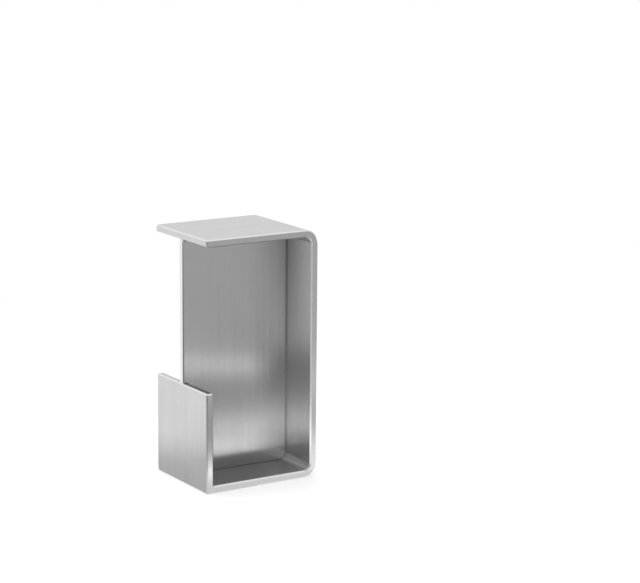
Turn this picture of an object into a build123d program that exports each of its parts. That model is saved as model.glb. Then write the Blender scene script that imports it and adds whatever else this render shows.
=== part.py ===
"""Recessed edge pull for a sliding door: a folded steel frame with a web plate across its middle.

The frame is one strip of steel, as wide as the door leaf is thick. It starts square at the top of
the cut-out, turns down through a rounded bend, turns back through a second one, and ends in a lip
that stands up from a sharp fold. The web plate stands on the middle of the strip, so that there is
a finger pocket on both faces of the door.

X runs from the door's free edge into the leaf, Y from the front face to the rear face, Z up.
The origin is at the middle of the bottom face.
"""

import os

from build123d import *

# Overall size, in millimetres.
pull_height = 100.0  # the cut-out in the door leaf, top to bottom
pull_reach = 50.0  # from the door's free edge to the frame's far wall
leaf_thickness = 40.0  # the door leaf, which the strip spans from face to face

# Strip of the frame.
strip_thickness = 3.0
bend_inner_radius = 3.0
lip_height = 40.0  # from the bottom of the pull to the lip's top edge
frame_edge_break = 0.3  # edges eased with a file after cutting

# Web plate.
web_thickness = 3.0
web_shift = 0.0  # from the middle of the leaf towards the rear face
web_edge_break = 0.4  # leaves the fine groove along the joint with the frame

# Places worked out from the sizes above.
free_edge_x = -pull_reach / 2
far_wall_x = pull_reach / 2
lip_inner_x = free_edge_x + strip_thickness
bend_outer_radius = bend_inner_radius + strip_thickness
pocket_floor_z = strip_thickness
pocket_top_z = pull_height - strip_thickness
pocket_end_x = far_wall_x - strip_thickness

# The strip lies inside this line, which is its outer face from the square end to the lip's top.
# The first two corners are round bends, and the third is grooved on the inside and folded sharp.
with BuildPart() as bent_frame:
    with BuildSketch(Plane.XZ) as strip_profile:
        with BuildLine() as outer_face:
            FilletPolyline(
                (free_edge_x, pull_height),
                (far_wall_x, pull_height),
                (far_wall_x, 0),
                (free_edge_x, 0),
                (free_edge_x, lip_height),
                radius=[bend_outer_radius, bend_outer_radius, 0],
            )
            offset(amount=strip_thickness, side=Side.RIGHT)
        make_face()
    extrude(amount=leaf_thickness / 2, both=True)

    # Both long edges of the strip are eased all the way round, and so are its two cut ends and the
    # outside of the sharp fold.
    long_edges = bent_frame.faces().filter_by(Axis.Y).edges()
    cross_edges = bent_frame.edges().filter_by(Axis.Y)
    free_edge_corners = cross_edges.group_by(Axis.X)[0]
    lip_inner_corner = cross_edges.sort_by_distance((lip_inner_x, 0, lip_height))[0]
    chamfer(long_edges + free_edge_corners + [lip_inner_corner], length=frame_edge_break)

bent_frame.part.label = "bent_frame"

# The plate fills the frame's inside. Above the lip it comes out flush with the door's free edge,
# and a notch clears the lip below. Its two far corners follow the inside of the bends.
with BuildPart() as web_plate:
    with BuildSketch(Plane.XZ.offset(-web_shift)) as plate_outline:
        with BuildLine():
            FilletPolyline(
                (free_edge_x, pocket_top_z),
                (pocket_end_x, pocket_top_z),
                (pocket_end_x, pocket_floor_z),
                (lip_inner_x, pocket_floor_z),
                (lip_inner_x, lip_height),
                (free_edge_x, lip_height),
                radius=[0, bend_inner_radius, bend_inner_radius, 0, 0, 0],
                close=True,
            )
        make_face()
    extrude(amount=web_thickness / 2, both=True)
    front_and_rear = web_plate.faces().filter_by(Axis.Y)
    chamfer(front_and_rear.edges(), length=web_edge_break)

web_plate.part.label = "web_plate"

os.makedirs("parts", exist_ok=True)
for piece in (bent_frame, web_plate):
    export_step(piece.part, f"parts/{piece.part.label}.step")
    size = piece.part.bounding_box().size
    print(f"{piece.part.label}: {size.X:.2f} x {size.Y:.2f} x {size.Z:.2f} mm")
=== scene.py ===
# %% [markdown]
# # A recessed edge pull in satin steel
#
# An edge pull is let into the free edge of a sliding door. This one is two pieces of 3 mm stainless
# steel: a strip folded into a frame as deep as the door leaf, and a flat web plate across its
# middle, which makes a finger pocket on each side of the door. A short lip closes the bottom of
# the open side.
#
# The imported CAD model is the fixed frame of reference. This script dresses it: both pieces are
# modelled again by hand, with filed edges, given a brushed finish, and set in a plain pale studio.

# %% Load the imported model
import math

import bmesh
import bpy
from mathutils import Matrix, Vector


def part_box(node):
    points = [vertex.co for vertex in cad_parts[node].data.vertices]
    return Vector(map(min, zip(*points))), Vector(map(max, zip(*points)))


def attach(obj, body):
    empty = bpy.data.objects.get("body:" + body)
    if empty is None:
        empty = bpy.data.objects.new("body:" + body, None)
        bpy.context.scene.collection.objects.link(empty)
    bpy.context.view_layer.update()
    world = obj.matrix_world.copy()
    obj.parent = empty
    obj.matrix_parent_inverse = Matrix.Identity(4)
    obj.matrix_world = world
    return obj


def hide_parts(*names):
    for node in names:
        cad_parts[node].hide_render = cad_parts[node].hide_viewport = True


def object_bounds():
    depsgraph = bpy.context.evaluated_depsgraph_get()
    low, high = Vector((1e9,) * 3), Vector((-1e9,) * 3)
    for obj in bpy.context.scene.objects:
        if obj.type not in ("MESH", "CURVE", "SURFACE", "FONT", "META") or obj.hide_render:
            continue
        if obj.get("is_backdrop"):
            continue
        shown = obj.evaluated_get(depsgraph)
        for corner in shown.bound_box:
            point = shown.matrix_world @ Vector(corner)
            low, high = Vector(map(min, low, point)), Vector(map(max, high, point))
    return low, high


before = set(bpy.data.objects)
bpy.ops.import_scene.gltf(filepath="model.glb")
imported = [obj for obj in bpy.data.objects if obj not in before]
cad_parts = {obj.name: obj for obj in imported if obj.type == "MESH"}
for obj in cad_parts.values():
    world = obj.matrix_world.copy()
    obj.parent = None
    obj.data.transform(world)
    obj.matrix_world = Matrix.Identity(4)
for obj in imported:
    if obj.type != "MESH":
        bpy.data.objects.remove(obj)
cad_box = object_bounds()
print("CAD nodes:", sorted(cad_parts))

# %% [markdown]
# ## Sizes
#
# Everything is in metres and in the frame of the CAD model: X runs from the door's free edge into
# the leaf, Y from its front face to its rear face, and Z up. Most sizes could be typed in again,
# but they are read from the boxes of the two CAD nodes, so that the dressed pieces lie exactly
# where the solids are. Only what a box can't tell is written down here: the bend radius, the lip
# and the filed edges.

# %% Read the main sizes from the CAD nodes
MM = 0.001

frame_low, frame_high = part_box("bent_frame")
web_low, web_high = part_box("web_plate")

free_edge_x, front_y, base_z = frame_low
far_wall_x, rear_y, top_z = frame_high
pocket_floor_z, pocket_top_z = web_low.z, web_high.z
pocket_end_x = web_high.x
strip_thickness = far_wall_x - pocket_end_x
lip_inner_x = free_edge_x + strip_thickness
print("strip", round(strip_thickness / MM, 2), "mm, pull", round(top_z / MM, 1), "mm high")

# %% Write down what the boxes can't tell
BEND_INNER_RADIUS = 3 * MM
LIP_HEIGHT = 40 * MM
FRAME_EDGE_BREAK = 0.5 * MM
WEB_EDGE_BREAK = 0.45 * MM

bend_outer_radius = BEND_INNER_RADIUS + strip_thickness
print("outer bend radius", round(bend_outer_radius / MM, 2), "mm")

# %% [markdown]
# ## The camera
#
# The photograph was taken with a long lens from the front left and a little above. Azimuth 0
# would look straight at the front face. The lens could be shifted to put the pull left of the
# middle of the picture, but a shift stays behind when another view is rendered. So the camera
# first looks at the middle of the pull, and is then swung by the angle between the lens axis and
# the pixel on which that point has to land.

# %% Work out the direction of view
PICTURE_WIDTH, PICTURE_HEIGHT = 640, 583
VIEW_AZIMUTH = math.radians(-30.4)
VIEW_ELEVATION = math.radians(13.4)
VIEW_DISTANCE = 0.891

pull_middle = (cad_box[0] + cad_box[1]) / 2
to_camera = Vector(
    (
        math.sin(VIEW_AZIMUTH) * math.cos(VIEW_ELEVATION),
        -math.cos(VIEW_AZIMUTH) * math.cos(VIEW_ELEVATION),
        math.sin(VIEW_ELEVATION),
    )
)
print("the camera lies towards", [round(c, 3) for c in to_camera])

# %% Place the camera and swing it
LENS = 126.7
SENSOR = 36.0
PULL_PIXEL = (236.8, 351.1)

right_of_centre = PULL_PIXEL[0] - PICTURE_WIDTH / 2
above_centre = PICTURE_HEIGHT / 2 - PULL_PIXEL[1]
focal_pixels = LENS / SENSOR * PICTURE_WIDTH
pixel_ray = Vector((right_of_centre, above_centre, -focal_pixels))

bpy.ops.object.camera_add(location=pull_middle + to_camera * VIEW_DISTANCE)
camera = bpy.context.object
camera.name = "camera"
camera.data.lens = LENS
camera.data.sensor_width = SENSOR
camera.data.clip_start = 0.05
camera.rotation_mode = "QUATERNION"
swing = Vector((0, 0, -1)).rotation_difference(pixel_ray)
camera.rotation_quaternion = (-to_camera).to_track_quat("-Z", "Y") @ swing.inverted()
bpy.context.scene.camera = camera
print("camera swung by", round(math.degrees(swing.angle), 2), "degrees")

# %% [markdown]
# ## Small tools for modelling
#
# Both pieces are plain bent and cut plate, so each one starts as a block that is pushed and spun
# into its real shape in edit mode. An operator works on what is selected. Clicking isn't possible
# in a script, so faces and edges are picked by where they are and which way they look.

# %% Start a piece
def start_block(name, low, high):
    """A block between two corners, with its place in its mesh, open in edit mode."""
    bpy.ops.object.select_all(action="DESELECT")
    middle = [(a + b) / 2 for a, b in zip(low, high)]
    size = [b - a for a, b in zip(low, high)]
    bpy.ops.mesh.primitive_cube_add(size=1, location=middle, scale=size)
    block = bpy.context.object
    block.name = name
    block.data.name = name
    bpy.ops.object.transform_apply(location=True, rotation=False, scale=True)
    bpy.ops.object.mode_set(mode="EDIT")
    print(name, "starts as a block of", [round(length / MM, 1) for length in size], "mm")
    return block


# %% Pick faces and edges
NEAR = 0.01 * MM
# A face looks along an axis where its normal's part along it is above FACING, and it leans that
# way even a little where that part is above LEANING.
FACING = 0.9
LEANING = 0.1


def pick_faces(piece, wanted):
    """Select only the faces that pass the test, which gets a face's middle and its normal."""
    bpy.ops.mesh.select_mode(type="FACE")
    bpy.ops.mesh.select_all(action="DESELECT")
    mesh = bmesh.from_edit_mesh(piece.data)
    for face in mesh.faces:
        face.select_set(bool(wanted(face.calc_center_median(), face.normal)))
    bmesh.update_edit_mesh(piece.data)
    return sum(face.select for face in mesh.faces)


def pick_edges(piece, wanted):
    """Select only the edges that pass the test, which gets an edge's two ends."""
    bpy.ops.mesh.select_mode(type="EDGE")
    bpy.ops.mesh.select_all(action="DESELECT")
    mesh = bmesh.from_edit_mesh(piece.data)
    for edge in mesh.edges:
        edge.select_set(bool(wanted(edge.verts[0].co, edge.verts[1].co)))
    bmesh.update_edit_mesh(piece.data)
    return sum(edge.select for edge in mesh.edges)


print("places are compared to within", NEAR / MM, "mm")

# %% Push faces out and file edges
FILED_FROM = math.radians(40)
SMOOTH_BELOW = math.radians(30)


def push_faces(x=0.0, y=0.0, z=0.0):
    """Extrude the selected faces by a distance."""
    bpy.ops.mesh.extrude_region_move(TRANSFORM_OT_translate={"value": (x, y, z)})


def file_edges(piece, width):
    """File every sharp edge to a small flat chamfer, and shade the bends as one smooth surface."""
    bpy.ops.object.mode_set(mode="OBJECT")
    chamfer = piece.modifiers.new("filed edges", "BEVEL")
    chamfer.width = width
    chamfer.segments = 1
    chamfer.limit_method = "ANGLE"
    chamfer.angle_limit = FILED_FROM
    bpy.ops.object.modifier_apply(modifier=chamfer.name)
    bpy.ops.object.shade_smooth_by_angle(angle=SMOOTH_BELOW)
    flatness = piece.modifiers.new("flat faces stay flat", "WEIGHTED_NORMAL")
    flatness.weight = 100
    flatness.keep_sharp = True
    bpy.ops.object.modifier_apply(modifier=flatness.name)
    print(piece.name, "has", len(piece.data.polygons), "faces with its edges filed")


# %% [markdown]
# ## The folded frame
#
# The real frame is one strip, bent round two corners in a press brake and folded sharp at the
# third. It could be drawn as an outline and filled, but following the strip is closer to the
# bench: start with a short block at its square end, then push and spin its end face along the
# path. Each push is a straight run and each spin is a bend. The bends turn about the Y axis, and
# their centres stand one outer radius in from both outer faces.

# %% Start at the strip's square end
upper_bend_x = far_wall_x - bend_outer_radius
upper_bend_z = top_z - bend_outer_radius
lower_bend_z = base_z + bend_outer_radius

folded_frame = start_block(
    "folded_frame",
    (free_edge_x, front_y, pocket_top_z),
    (upper_bend_x, rear_y, top_z),
)
end_faces = pick_faces(folded_frame, lambda middle, normal: normal.x > FACING)
print("the strip grows from", end_faces, "end face")

# %% Follow the strip round both bends
BEND_STEPS = 20


def bend_down(centre_z):
    """Sweep the selected end face through a quarter turn about an axis along Y."""
    bpy.ops.mesh.spin(
        steps=BEND_STEPS,
        angle=math.radians(-90),
        center=(upper_bend_x, 0, centre_z),
        axis=(0, 1, 0),
    )


bend_down(upper_bend_z)
push_faces(z=lower_bend_z - upper_bend_z)
bend_down(lower_bend_z)
push_faces(x=lip_inner_x - upper_bend_x)
push_faces(x=-strip_thickness)
print("straight far wall", round((upper_bend_z - lower_bend_z) / MM, 1), "mm long")

# %% Fold the lip up and file the edges
lip_root = pick_faces(
    folded_frame,
    lambda middle, normal: normal.z > FACING and middle.x < lip_inner_x and middle.z < LIP_HEIGHT,
)
push_faces(z=LIP_HEIGHT - pocket_floor_z)
print("the lip grows from", lip_root, "face")

file_edges(folded_frame, FRAME_EDGE_BREAK)

# %% [markdown]
# ## The web plate
#
# The real one is a flat plate, cut to fit inside the frame and welded in, so that only a fine
# groove shows along the joint: that is what its filed edges leave. It could be cut from a larger
# block with a boolean, but that leaves loose faces. Instead the block is cut in two at the height
# of the lip, so that only its upper half can be pushed out to the door's free edge: what is left
# below is the notch that clears the lip. The two far corners are rounded like the inside of the
# bends.

# %% Cut the notch for the lip
web_plate = start_block(
    "web_sheet",
    (lip_inner_x, web_low.y, pocket_floor_z),
    (pocket_end_x, web_high.y, pocket_top_z),
)
bpy.ops.mesh.select_all(action="SELECT")
bpy.ops.mesh.bisect(plane_co=(0, 0, LIP_HEIGHT), plane_no=(0, 0, 1))
above_lip = pick_faces(
    web_plate,
    lambda middle, normal: normal.x < -FACING and middle.z > LIP_HEIGHT,
)
push_faces(x=-strip_thickness)
print("pushed", above_lip, "face above the lip out to the free edge")

# %% Round the far corners and file the edges
CORNER_STEPS = 12


def is_far_corner(a, b):
    """The edges across the plate's thickness at its two far corners."""
    across = abs(a.y - b.y) > NEAR
    far = min(a.x, b.x) > pocket_end_x - NEAR
    outer = a.z < pocket_floor_z + NEAR or a.z > pocket_top_z - NEAR
    return across and far and outer


far_corners = pick_edges(web_plate, is_far_corner)
bpy.ops.mesh.bevel(offset=BEND_INNER_RADIUS, segments=CORNER_STEPS, affect="EDGES")
print("rounded", far_corners, "corners")

file_edges(web_plate, WEB_EDGE_BREAK)

# %% [markdown]
# ## Tools for materials
#
# A finish is a tree of nodes. Two small functions keep the recipes readable: one turns the sRGB
# hex colour that a colour picker shows into the linear numbers that the renderer works in, and
# one adds any node with its settings and links.

# %% Colours and nodes
def linear(hex_colour):
    """Linear RGBA from an sRGB hex value such as '#c8c8c8'."""
    channels = [int(hex_colour[i : i + 2], 16) / 255 for i in (1, 3, 5)]
    return [c / 12.92 if c <= 0.04045 else ((c + 0.055) / 1.055) ** 2.4 for c in channels] + [1.0]


def add_node(tree, kind, settings=None, inputs=None):
    """Add a node, set its properties, then fill its inputs with values or link outputs to them.

    An input is given by its name, or by its number where a node has two of one name.
    """
    node = tree.nodes.new(kind)
    for name, value in (settings or {}).items():
        setattr(node, name, value)
    for key, value in (inputs or {}).items():
        named = (s for s in node.inputs if s.name == key and s.enabled)
        socket = node.inputs[key] if isinstance(key, int) else next(named)
        if isinstance(value, bpy.types.NodeSocket):
            tree.links.new(value, socket)
        else:
            socket.default_value = value
    return node


def empty_material(name):
    """A node material with nothing in it yet, and its tree."""
    material = bpy.data.materials.new(name)
    material.use_nodes = True
    material.node_tree.nodes.clear()
    return material, material.node_tree


print("middle grey #808080 is", round(linear("#808080")[0], 3), "in linear light")

# %% [markdown]
# ## Brushed stainless steel
#
# The pull is austenitic stainless steel sheet, ground with an abrasive belt to a satin finish. The
# belt leaves fine parallel grooves. To the eye they do three things: they spread a reflection
# sideways, across the grooves, and leave it almost crisp along them; they show as faint lines,
# some lighter and some darker; and they catch single glints that run the length of a face.
#
# A bump map could draw the grooves, but it blurs them away at this size. So the spread comes from
# the shader's anisotropy, the faint lines from noise drawn out to 90 mm, and the glints from
# tilting the surface normal a little across the grooves with a finer noise of the same kind. The
# lines follow the strip round its bends, so on it the noise changes quickly across the strip (Y)
# and slowly along it (X and Z), and one pattern serves every wall. On the web plate the lines
# stand upright, side by side along X.
#
# The colour is a neutral grey a little darker than silver. Towards the joint between web and frame
# the colour is darkened with painted shade, in place of the shade that falls in that corner, and
# most of all at the upper end of the joint, which is deepest in.

# %% Colours and groove sizes
STEEL_LIGHT = "#d5d5d5"
STEEL_DARK = "#cfcfcf"
STEEL_CORNER_SHADE = "#a0a0a0"

# A 180 grit belt leaves grooves about 0.08 mm apart. They are drawn at 0.15 mm, about twice as
# coarse, because finer ones fall between the render's pixels and don't show at all.
FINE_LINE = 0.15 * MM
# Deeper strokes and worn parts of the belt show as soft stripes a few millimetres wide.
BROAD_LINE = 2.0 * MM
LINE_LENGTH = 90 * MM
# Handling and uneven pressure leave hazy patches about as wide as a fingertip.
HAZE_PATCH = 14 * MM
# How far a groove's two walls lean apart, as a slope.
GROOVE_TILT = 0.36
SATIN_ROUGHNESS = 0.24
# Where the belt has worn, the steel is a little smoother and lighter.
UNEVENNESS = 0.01
# The shader turns its spread by whole turns: a quarter lays it across the grooves.
QUARTER_TURN = 0.25
print("grooves drawn", round(FINE_LINE / MM, 3), "mm apart")


# %% Grooves, wear and groove walls
def grooves(tree, place, crossed, spacing):
    """Noise that changes within the spacing across the grooves, and slowly along them."""
    scale = [1 / spacing if axis else 1 / LINE_LENGTH for axis in crossed]
    drawn_out = add_node(tree, "ShaderNodeMapping", inputs={"Vector": place, "Scale": scale})
    noise = {"Vector": drawn_out.outputs["Vector"], "Scale": 1.0, "Detail": 1.0}
    return add_node(tree, "ShaderNodeTexNoise", inputs=noise).outputs["Fac"]


def uneven_wear(tree, place, crossed):
    """Broad stripes and hazy patches together, from 0 where they are darkest to 1."""
    stripes = grooves(tree, place, crossed, BROAD_LINE)
    patches = {"Vector": place, "Scale": 1 / HAZE_PATCH, "Detail": 2.0}
    haze = add_node(tree, "ShaderNodeTexNoise", inputs=patches).outputs["Fac"]
    both = add_node(tree, "ShaderNodeMath", {"operation": "ADD"}, {0: stripes, 1: haze})
    # Noise stays near 0.5, so the sum of two is spread out again.
    spread = {"Value": both.outputs["Value"], "From Min": 0.6, "From Max": 1.4}
    return add_node(tree, "ShaderNodeMapRange", inputs=spread).outputs["Result"]


def leaning_normal(tree, place, crossed):
    """The surface normal, leaning to one side or the other across the fine grooves."""
    fine = grooves(tree, place, crossed, FINE_LINE)
    lean = {"Value": fine, "To Min": -GROOVE_TILT / 2, "To Max": GROOVE_TILT / 2}
    slope = add_node(tree, "ShaderNodeMapRange", inputs=lean).outputs["Result"]
    sideways = {"Vector": crossed, "Scale": slope}
    tilt = add_node(tree, "ShaderNodeVectorMath", {"operation": "SCALE"}, sideways).outputs["Vector"]
    flat = add_node(tree, "ShaderNodeNewGeometry").outputs["Normal"]
    both = add_node(tree, "ShaderNodeVectorMath", {"operation": "ADD"}, {0: flat, 1: tilt})
    leaning = {"Vector": both.outputs["Vector"]}
    return add_node(tree, "ShaderNodeVectorMath", {"operation": "NORMALIZE"}, leaning).outputs["Vector"]


print("groove walls lean up to", round(math.degrees(math.atan(GROOVE_TILT / 2))), "degrees")


# %% Tone
# Near a joint there is no painted shade 12 mm above the pocket's floor, and the painted shade grows
# from there towards both ends.
SHADE_FREE_HEIGHT = 12 * MM
SHADE_ABOVE, SHADE_BELOW = 1.0, 0.3


def painted_corner_shade(tree, place, across, joint):
    """Painted corner shade: 1 in the corner at a joint's upper end, and 0 away from the joint and 12 mm up.
    """
    joint_at, darkest_within, shade_ends_beyond = joint
    parts = add_node(tree, "ShaderNodeSeparateXYZ", inputs={"Vector": place}).outputs
    offset = add_node(tree, "ShaderNodeMath", {"operation": "SUBTRACT"}, {0: parts[across], 1: joint_at})
    away = add_node(tree, "ShaderNodeMath", {"operation": "ABSOLUTE"}, {0: offset.outputs["Value"]})
    near = {"Value": away.outputs["Value"], "From Min": shade_ends_beyond, "From Max": darkest_within}
    deep = add_node(tree, "ShaderNodeMapRange", inputs=near).outputs["Result"]
    ends = {}
    for index, (end, most) in enumerate(((pocket_top_z, SHADE_ABOVE), (pocket_floor_z, SHADE_BELOW))):
        run = {"Value": parts["Z"], "From Min": pocket_floor_z + SHADE_FREE_HEIGHT, "From Max": end, "To Max": most}
        ends[index] = add_node(tree, "ShaderNodeMapRange", inputs=run).outputs["Result"]
    height = add_node(tree, "ShaderNodeMath", {"operation": "MAXIMUM"}, ends).outputs["Value"]
    return add_node(tree, "ShaderNodeMath", {"operation": "MULTIPLY"}, {0: deep, 1: height}).outputs["Value"]


def steel_tone(tree, place, across, wear, joint):
    """Two close greys, turning to a darker grey of painted shade near the joint."""
    greys = {"Factor": wear, "A": linear(STEEL_DARK), "B": linear(STEEL_LIGHT)}
    ground = add_node(tree, "ShaderNodeMix", {"data_type": "RGBA"}, greys).outputs["Result"]
    if joint is None:
        return ground
    corner_shade = painted_corner_shade(tree, place, across, joint)
    tones = {"Factor": corner_shade, "A": ground, "B": linear(STEEL_CORNER_SHADE)}
    return add_node(tree, "ShaderNodeMix", {"data_type": "RGBA"}, tones).outputs["Result"]


# The darker grey is painted corner shade. This prints its brightness against light steel.
print("dull steel is", round(linear(STEEL_CORNER_SHADE)[0] / linear(STEEL_LIGHT)[0], 2), "as bright as light steel")


# %% The brushed steel recipe
def brushed_steel(name, across, joint=None):
    """Belt-ground stainless steel, its grooves side by side along one axis.

    The joint is its place on that axis, how far from it the painted shade is darkest, and where it ends.
    """
    material, tree = empty_material(name)
    place = add_node(tree, "ShaderNodeTexCoord").outputs["Object"]
    crossed = [1.0 if axis == across else 0.0 for axis in "XYZ"]
    wear = uneven_wear(tree, place, crossed)
    rough, smooth = SATIN_ROUGHNESS + UNEVENNESS, SATIN_ROUGHNESS - UNEVENNESS
    satin = {"Value": wear, "To Min": rough, "To Max": smooth}
    round_axis = add_node(tree, "ShaderNodeTangent", {"direction_type": "RADIAL", "axis": across})
    surface = add_node(
        tree,
        "ShaderNodeBsdfPrincipled",
        inputs={
            "Base Color": steel_tone(tree, place, across, wear, joint),
            "Metallic": 1.0,
            "Roughness": add_node(tree, "ShaderNodeMapRange", inputs=satin).outputs["Result"],
            "Anisotropic": 1.0,
            "Anisotropic Rotation": QUARTER_TURN,
            "Tangent": round_axis.outputs["Tangent"],
            "Normal": leaning_normal(tree, place, crossed),
        },
    )
    add_node(tree, "ShaderNodeOutputMaterial", inputs={"Surface": surface.outputs["BSDF"]})
    print(name, "has", len(tree.nodes), "nodes")
    return material


# How far from the joint the painted corner shade reaches, in the pocket and on the plate.
POCKET_SHADE_REACH = 17 * MM
WEB_SHADE_REACH = 18 * MM

strip_finish = brushed_steel("brushed stainless strip", across="Y")
pocket_finish = brushed_steel("brushed stainless pocket", "Y", joint=(0.0, web_high.y, POCKET_SHADE_REACH))
web_finish = brushed_steel("brushed stainless plate", "X", joint=(pocket_end_x, 0.0, WEB_SHADE_REACH))

# %% [markdown]
# ## Linished edges
#
# The strip's long edges and the web plate's rim were cut, and then linished: run along a fine
# belt, which leaves them brighter than the faces, with no grain that shows. A little round noise in
# tone and roughness stands for the belt's marks. The edges are only 3 mm wide, so anisotropy would
# add nothing that the eye could see.

# %% Linished edge
EDGE_LIGHT = "#e6e6e6"
EDGE_DARK = "#dfdfdf"
# The marks are under 0.1 mm, and are drawn at 0.6 mm so that they show at all.
EDGE_MARK = 0.6 * MM
EDGE_ROUGHNESS = 0.24
EDGE_UNEVENNESS = 0.02

rim_finish, tree = empty_material("linished stainless edge")
place = add_node(tree, "ShaderNodeTexCoord").outputs["Object"]
belt_marks = {"Vector": place, "Scale": 1 / EDGE_MARK, "Detail": 2.0}
marks = add_node(tree, "ShaderNodeTexNoise", inputs=belt_marks).outputs["Fac"]
edge_greys = {"Factor": marks, "A": linear(EDGE_DARK), "B": linear(EDGE_LIGHT)}
tone = add_node(tree, "ShaderNodeMix", {"data_type": "RGBA"}, edge_greys).outputs["Result"]
smooth, rough = EDGE_ROUGHNESS - EDGE_UNEVENNESS, EDGE_ROUGHNESS + EDGE_UNEVENNESS
polish = {"Value": marks, "To Min": smooth, "To Max": rough}
polished = add_node(tree, "ShaderNodeMapRange", inputs=polish).outputs["Result"]
edge = {"Base Color": tone, "Metallic": 1.0, "Roughness": polished}
surface = add_node(tree, "ShaderNodeBsdfPrincipled", inputs=edge)
add_node(tree, "ShaderNodeOutputMaterial", inputs={"Surface": surface.outputs["BSDF"]})
print("edge roughness from", round(smooth, 2), "to", round(rough, 2))

# %% [markdown]
# ## Dressing the two pieces
#
# Each face gets the finish that its side of the steel has. On the strip, every face that looks
# along Y even a little is a cut or filed edge, and so are the sloping ones at the strip's two ends
# and its fold. A flat file can't follow the inside of a bend, so the edge there stays satin, like
# the pocket. Of the other faces, those inside the outline are the pocket.


# %% Choose a finish for each face
def in_bend(x, z):
    """Whether a place lies at the inside of a bend, its filed edge included."""
    down = min(abs(z - upper_bend_z), abs(z - lower_bend_z))
    return math.hypot(x - upper_bend_x, down) < BEND_INNER_RADIUS + FRAME_EDGE_BREAK + NEAR


def inside_strip(x, z):
    """Whether a place lies within the strip's inner line, its filed edge included."""
    slack = FRAME_EDGE_BREAK + NEAR
    beside = lip_inner_x - slack < x < pocket_end_x + slack
    return beside and pocket_floor_z - slack < z < pocket_top_z + slack


def strip_face(face):
    """The finish of a face of the strip."""
    x, z = face.center.x, face.center.z
    edge = abs(face.normal.y) > LEANING
    sloping = abs(face.normal.x) > LEANING and abs(face.normal.z) > LEANING
    if sloping and x < lip_inner_x + FRAME_EDGE_BREAK:
        return rim_finish
    if edge and not (sloping and in_bend(x, z)):
        return rim_finish
    return pocket_finish if inside_strip(x, z) else strip_finish


def web_face(face):
    """The finish of a face of the web plate."""
    return web_finish if abs(face.normal.y) > FACING else rim_finish


def dress(piece, finishes, choose):
    """Give a piece its finishes, and each of its faces the one that choose names."""
    for finish in finishes:
        piece.data.materials.append(finish)
    for face in piece.data.polygons:
        face.material_index = finishes.index(choose(face))
    for index, finish in enumerate(finishes):
        faces = sum(face.material_index == index for face in piece.data.polygons)
        print(piece.name, "-", finish.name, "on", faces, "faces")


dress(folded_frame, [strip_finish, pocket_finish, rim_finish], strip_face)
dress(web_plate, [web_finish, rim_finish], web_face)

for piece, node, slot in (
    (folded_frame, "bent_frame", "strip_steel"),
    (web_plate, "web_plate", "web_steel"),
):
    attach(piece, "root")
    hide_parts(node)
    print(piece.name, "replaces", node)

# %% [markdown]
# ## White paper that keeps a shadow
#
# The pull stands on plain white paper. A white material could do, but lit until it looks white it
# would take the steel with it, and lit less it renders grey. So the paper is matt and pale, which
# is what darkens under the pull, and it adds a glow that only the camera and mirrors see. Past a
# hand's width from the pull it turns to plain white, so no far edge shows.

# %% Rays that look, and rays that light
WHITE = [1.0, 1.0, 1.0, 1.0]


def looking_rays(tree):
    """1 for a ray from the camera or one that a shiny or clear surface sends on, otherwise 0."""
    rays = add_node(tree, "ShaderNodeLightPath").outputs
    seen = rays["Is Camera Ray"]
    for kind in ("Is Glossy Ray", "Is Transmission Ray"):
        either = add_node(tree, "ShaderNodeMath", {"operation": "MAXIMUM"}, {0: seen, 1: rays[kind]})
        seen = either.outputs["Value"]
    return seen


def away_from_centre(tree):
    """How far a point lies from the middle of its object."""
    place = add_node(tree, "ShaderNodeTexCoord").outputs["Object"]
    length = add_node(tree, "ShaderNodeVectorMath", {"operation": "LENGTH"}, {"Vector": place})
    return length.outputs["Value"]


print("white is", WHITE)

# %% The paper
FLOOR_SIZE = 12.0
PAPER = "#e9e9e9"
PAPER_GLOW = 0.45
SHADOW_REACH = 100 * MM
WHITE_FROM = 350 * MM

bpy.ops.object.select_all(action="DESELECT")
bpy.ops.mesh.primitive_plane_add(size=FLOOR_SIZE, location=(0, 0, base_z))
floor = bpy.context.object
floor.name = "floor"
floor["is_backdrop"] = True

paper, tree = empty_material("matt white paper")
seen = looking_rays(tree)
fade = {"Value": away_from_centre(tree), "From Min": SHADOW_REACH, "From Max": WHITE_FROM}
far = add_node(tree, "ShaderNodeMapRange", {"interpolation_type": "SMOOTHSTEP"}, fade).outputs["Result"]
far_and_seen = add_node(tree, "ShaderNodeMath", {"operation": "MULTIPLY"}, {0: far, 1: seen})
faint = add_node(tree, "ShaderNodeMath", {"operation": "MULTIPLY"}, {0: seen, 1: PAPER_GLOW})
matt = add_node(tree, "ShaderNodeBsdfDiffuse", inputs={"Color": linear(PAPER)})
glow = add_node(tree, "ShaderNodeEmission", inputs={"Color": WHITE, "Strength": faint.outputs["Value"]})
white = add_node(tree, "ShaderNodeEmission", inputs={"Color": WHITE, "Strength": 1.0})
lit = {0: matt.outputs["BSDF"], 1: glow.outputs["Emission"]}
near = add_node(tree, "ShaderNodeAddShader", inputs=lit).outputs["Shader"]
blend = {"Fac": far_and_seen.outputs["Value"], 1: near, 2: white.outputs["Emission"]}
whole = add_node(tree, "ShaderNodeMixShader", inputs=blend).outputs["Shader"]
add_node(tree, "ShaderNodeOutputMaterial", inputs={"Surface": whole})
floor.data.materials.append(paper)
print("paper turns white from", WHITE_FROM / MM, "mm away")

# %% [markdown]
# ## The room and the lamp
#
# The room lights matt things only dimly, and is plain white wherever the camera or the steel
# looks. One soft lamp overhead makes the shadow. The steel doesn't mirror it: a lamp's small bright
# square would burn out to white on the top face, where a real one shows a wide, even light.

# %% The room
ROOM_LIGHT = 0.35

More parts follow.
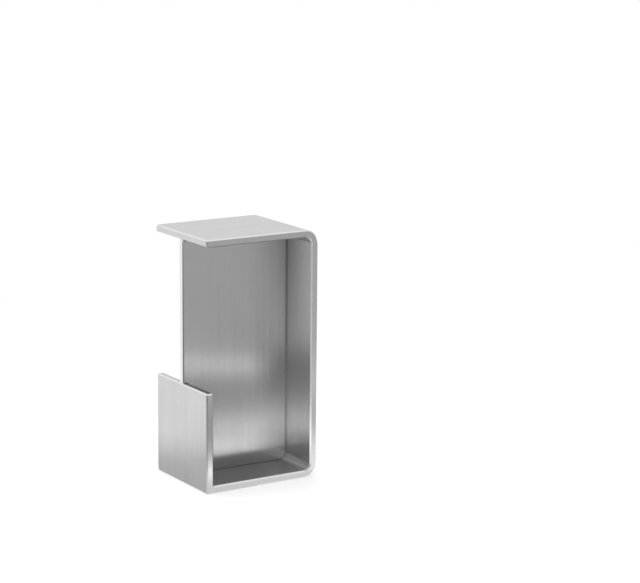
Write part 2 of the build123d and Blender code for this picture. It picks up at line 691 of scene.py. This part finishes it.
world = bpy.data.worlds.new("studio")
bpy.context.scene.world = world
world.use_nodes = True
tree = world.node_tree
tree.nodes.clear()
level = {"Value": looking_rays(tree), "To Min": ROOM_LIGHT, "To Max": 1.0}
strength = add_node(tree, "ShaderNodeMapRange", inputs=level).outputs["Result"]
room = add_node(tree, "ShaderNodeBackground", inputs={"Color": WHITE, "Strength": strength})
add_node(tree, "ShaderNodeOutputWorld", inputs={"Surface": room.outputs["Background"]})
print("room light", ROOM_LIGHT, "and white where it is seen")

# %% The lamp
LAMP_PLACE = Vector((-0.03, 0.05, 0.62))
LAMP_SIZE = 0.45
LAMP_WATTS = 2.6

bpy.ops.object.light_add(type="AREA", location=LAMP_PLACE)
lamp = bpy.context.object
lamp.name = "overhead softbox"
lamp.data.shape = "SQUARE"
lamp.data.size = LAMP_SIZE
lamp.data.energy = LAMP_WATTS
lamp.visible_glossy = False
lamp.rotation_mode = "QUATERNION"
lamp.rotation_quaternion = (pull_middle - LAMP_PLACE).to_track_quat("-Z", "Y")
print("lamp", round((LAMP_PLACE - pull_middle).length, 2), "m away")

# %% [markdown]
# ## Grey cards round the pull
#
# Bare metal has hardly a look of its own. What the eye takes for its light and dark bands is a
# blurred picture of the room, so a photographer lays grey cards round it, just outside the
# picture, until the bands lie where they show its shape. A painted pattern on the steel could
# look the same from one side, but it would stay put in every other view, as no reflection does.
#
# Seen from the camera, a place z above the floor mirrors the floor about z / tan(13.4) in front
# of it. So height on the steel is distance on the floor, and a card whose grey changes with its
# distance from the pull draws level bands. Cards curved round the pull keep each band level across
# a wide face. Bearings are in degrees from straight in front of the pull, and grow to the right.
# Only reflections see the cards, which glow with their own grey and are lit by no lamp.

# %% Curve a card
CARD_START = 18 * MM
CARD_REACH = 650 * MM
LIFT = 0.2 * MM
CIRCLE_POINTS = 180
BEARING_SLACK = 0.5
HIDDEN_FROM = ("camera", "diffuse", "transmission", "volume_scatter", "shadow")


def bent_sheet(name, bearings, inner, outer, centre):
    """A sheet between two bearings, from one radius and height to another."""
    start, end = bearings
    bpy.ops.object.select_all(action="DESELECT")
    bpy.ops.mesh.primitive_circle_add(vertices=CIRCLE_POINTS, radius=inner[0])
    sheet = bpy.context.object
    sheet.name = name
    bpy.ops.object.mode_set(mode="EDIT")
    mesh = bmesh.from_edit_mesh(sheet.data)
    for point in mesh.verts:
        bearing = math.degrees(math.atan2(point.co.x, -point.co.y))
        turns = (bearing - 360, bearing)
        kept = any(start - BEARING_SLACK < turn < end + BEARING_SLACK for turn in turns)
        point.select_set(not kept)
    mesh.select_flush_mode()
    bmesh.update_edit_mesh(sheet.data)
    bpy.ops.mesh.delete(type="VERT")
    bpy.ops.mesh.select_all(action="SELECT")
    bpy.ops.mesh.extrude_region_move()
    growth = outer[0] / inner[0]
    bpy.ops.transform.resize(value=(growth, growth, 1), center_override=(0, 0, 0))
    bpy.ops.transform.translate(value=(0, 0, outer[1] - inner[1]))
    bpy.ops.object.mode_set(mode="OBJECT")
    sheet.location = (centre[0], centre[1], inner[1])
    for kind in HIDDEN_FROM:
        setattr(sheet, "visible_" + kind, False)
    return sheet


print("cards reach", CARD_REACH / MM, "mm from the pull")


# %% Give a card its greys
def glowing_grey_card(name, greys):
    """Grey that glows evenly with no lamp, in place of lit paper, changing with the distance in mm from the
    card's centre.
    """
    finish, tree = empty_material(name)
    ramp = add_node(tree, "ShaderNodeValToRGB", inputs={"Fac": away_from_centre(tree)})
    stops = ramp.color_ramp.elements
    for radius, grey in greys[2:]:
        stops.new(radius * MM)
    for stop, (radius, grey) in zip(stops, greys):
        stop.position = radius * MM
        stop.color = [grey, grey, grey, 1.0]
    shine = {"Color": ramp.outputs["Color"], "Strength": 1.0}
    glow = add_node(tree, "ShaderNodeEmission", inputs=shine).outputs["Emission"]
    add_node(tree, "ShaderNodeOutputMaterial", inputs={"Surface": glow})
    return finish


def curved_card(name, bearings, greys, inner=None, outer=None, centre=(0.0, 0.0)):
    """A grey card that lies on the floor, unless it is given other edges: a radius and a height."""
    inner = inner or (CARD_START, LIFT)
    outer = outer or (CARD_REACH, LIFT)
    sheet = bent_sheet(name, bearings, inner, outer, centre)
    sheet.data.materials.append(glowing_grey_card(name, greys))
    sheet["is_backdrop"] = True
    print(name, "from", bearings[0], "to", bearings[1], "degrees, in", len(greys), "greys")


print("a card's greys are linear, and 1 is white")

# %% Sheets in front, which the web plate and the front rims mirror
# The web and the right rim show a wide bright band, a dark one, a narrow bright one and then an
# even grey.
RIGHT_GREYS = (
    (18, 1.00),
    (74, 1.00),
    (106, 0.52),
    (133, 0.46),
    (158, 0.50),
    (174, 1.00),
    (195, 1.00),
    (204, 0.44),
    (650, 0.54),
)
# The lip's front rim is darker towards its top, so straight ahead the greys fall sooner.
FRONT_GREYS = (
    (18, 0.96),
    (45, 0.96),
    (61, 0.52),
    (75, 0.40),
    (92, 0.29),
    (139, 0.23),
    (163, 0.34),
    (174, 0.76),
    (198, 0.76),
    (206, 0.38),
)
# The side sheet gives the far wall's outer edge a dark line, which sets it off from the white.
SIDE_GREYS = ((36, 1.00), (90, 0.35))

curved_card("right sheet", (20, 110), RIGHT_GREYS)
curved_card("front sheet", (-6, 20), FRONT_GREYS)
curved_card("side sheet", (110, 132), SIDE_GREYS)

# The bottom rim mirrors a few millimetres of floor just in front of it. A narrow strip there lies
# over the sheets. It is drawn as a short arc of a very wide circle, which is as good as straight.
STRIP_TURN = 1.0
STRIP_FROM, STRIP_TO = 20.2 * MM, 26.5 * MM
STRIP_GREYS = ((0, 0.74), (1000, 0.74))
curved_card(
    "front strip",
    (-2, 2),
    STRIP_GREYS,
    inner=(STRIP_TURN + STRIP_FROM, 3 * LIFT),
    outer=(STRIP_TURN + STRIP_TO, 3 * LIFT),
    centre=(0.0, STRIP_TURN),
)

# %% Sheets to the left, which the wall inside the pocket mirrors by way of the web
LEFT_GREYS = (
    (18, 0.76),
    (38, 0.76),
    (47, 1.55),
    (66, 1.55),
    (80, 1.20),
    (100, 0.80),
    (118, 0.56),
    (150, 0.43),
    (170, 0.42),
)
# Half way up, the wall's band ends in a crisp level line. The far sheet is curved round the place
# where the web shows the wall's mirror image, so that the line stays crisp.
FAR_LEFT_GREYS = ((160, 0.42), (215.5, 0.40), (217.5, 1.22))
WALL_IMAGE = (pocket_end_x, 9 * MM)
# Further round, a lighter sheet gives the far wall's filed edge its light line, and a dark one
# gives the web's filed front edge its dark line.
RIM_GREYS = ((60, 0.90), (120, 0.60), (200, 0.50), (260, 0.60))
DARK_GREYS = ((60, 0.16), (650, 0.16))

# Where the left sheet ends and the far one begins, and the near strip and the two beyond it.
LEFT_SEAM = 170 * MM
NEAR_SEAM = 60 * MM
curved_card("left sheet", (-50, -6), LEFT_GREYS, outer=(LEFT_SEAM, LIFT))
curved_card(
    "far left sheet",
    (-50, -8),
    FAR_LEFT_GREYS,
    inner=(LEFT_SEAM, 2 * LIFT),
    outer=(CARD_REACH, 2 * LIFT),
    centre=WALL_IMAGE,
)
curved_card("rim sheet", (-56, -50), RIM_GREYS, inner=(NEAR_SEAM, LIFT))
curved_card("dark left sheet", (-96, -56), DARK_GREYS, inner=(NEAR_SEAM, LIFT))

# %% Sheets behind, which the lip's outer face and the strip's square end mirror
# The lip is bright above and falls off to a mid grey at its foot.
BACK_GREYS = (
    (18, 0.60),
    (46, 0.68),
    (60, 0.86),
    (76, 1.00),
    (90, 1.07),
    (130, 1.09),
)
curved_card("back sheet", (-228, -96), BACK_GREYS)
curved_card("near left strip", (-96, -50), BACK_GREYS, outer=(NEAR_SEAM, LIFT))

# %% Curtains, which the pocket floor and the lower bend mirror
# The floor of the pocket is the darkest face: it mirrors the room above and to the right of the
# camera. The curtain on the left is a mid grey, which draws a soft light along the lower bend. The
# side needs no dark, only a change from the grey sheet to the white room, and every curtain fades
# to white at its top, so that no hard edge shows in the bends from other sides.
DARK_CURTAIN_GREYS = ((650, 0.50), (655, 0.14), (850, 0.14), (980, 1.00))
SIDE_CURTAIN_GREYS = ((650, 0.54), (700, 0.56), (850, 0.75), (980, 1.00))
LEFT_CURTAIN_GREYS = ((650, 0.55), (700, 0.58), (900, 0.58), (980, 1.00))
CURTAIN_HEIGHT = 750 * MM
curtain_foot = (CARD_REACH, LIFT)
curtain_top = (CARD_REACH, CURTAIN_HEIGHT)
curved_card("dark curtain", (-8, 62), DARK_CURTAIN_GREYS, curtain_foot, curtain_top)
curved_card("side curtain", (62, 110), SIDE_CURTAIN_GREYS, curtain_foot, curtain_top)
curved_card("left curtain", (-96, -8), LEFT_CURTAIN_GREYS, curtain_foot, curtain_top)

# %% [markdown]
# ## The picture, and the sizes of the finished model
#
# The Standard view transform shows every colour as it was written, with nothing done to its
# contrast. The dressed pieces must fill the same box as the CAD solids, so both boxes are written
# down and can be compared.

# %% Keep the sizes and hand over
bpy.context.scene.view_settings.view_transform = "Standard"

dressed_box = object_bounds()
for name, (low, high) in (("CAD", cad_box), ("dressed", dressed_box)):
    print(name, "box", [round(length / MM, 2) for length in high - low], "mm")
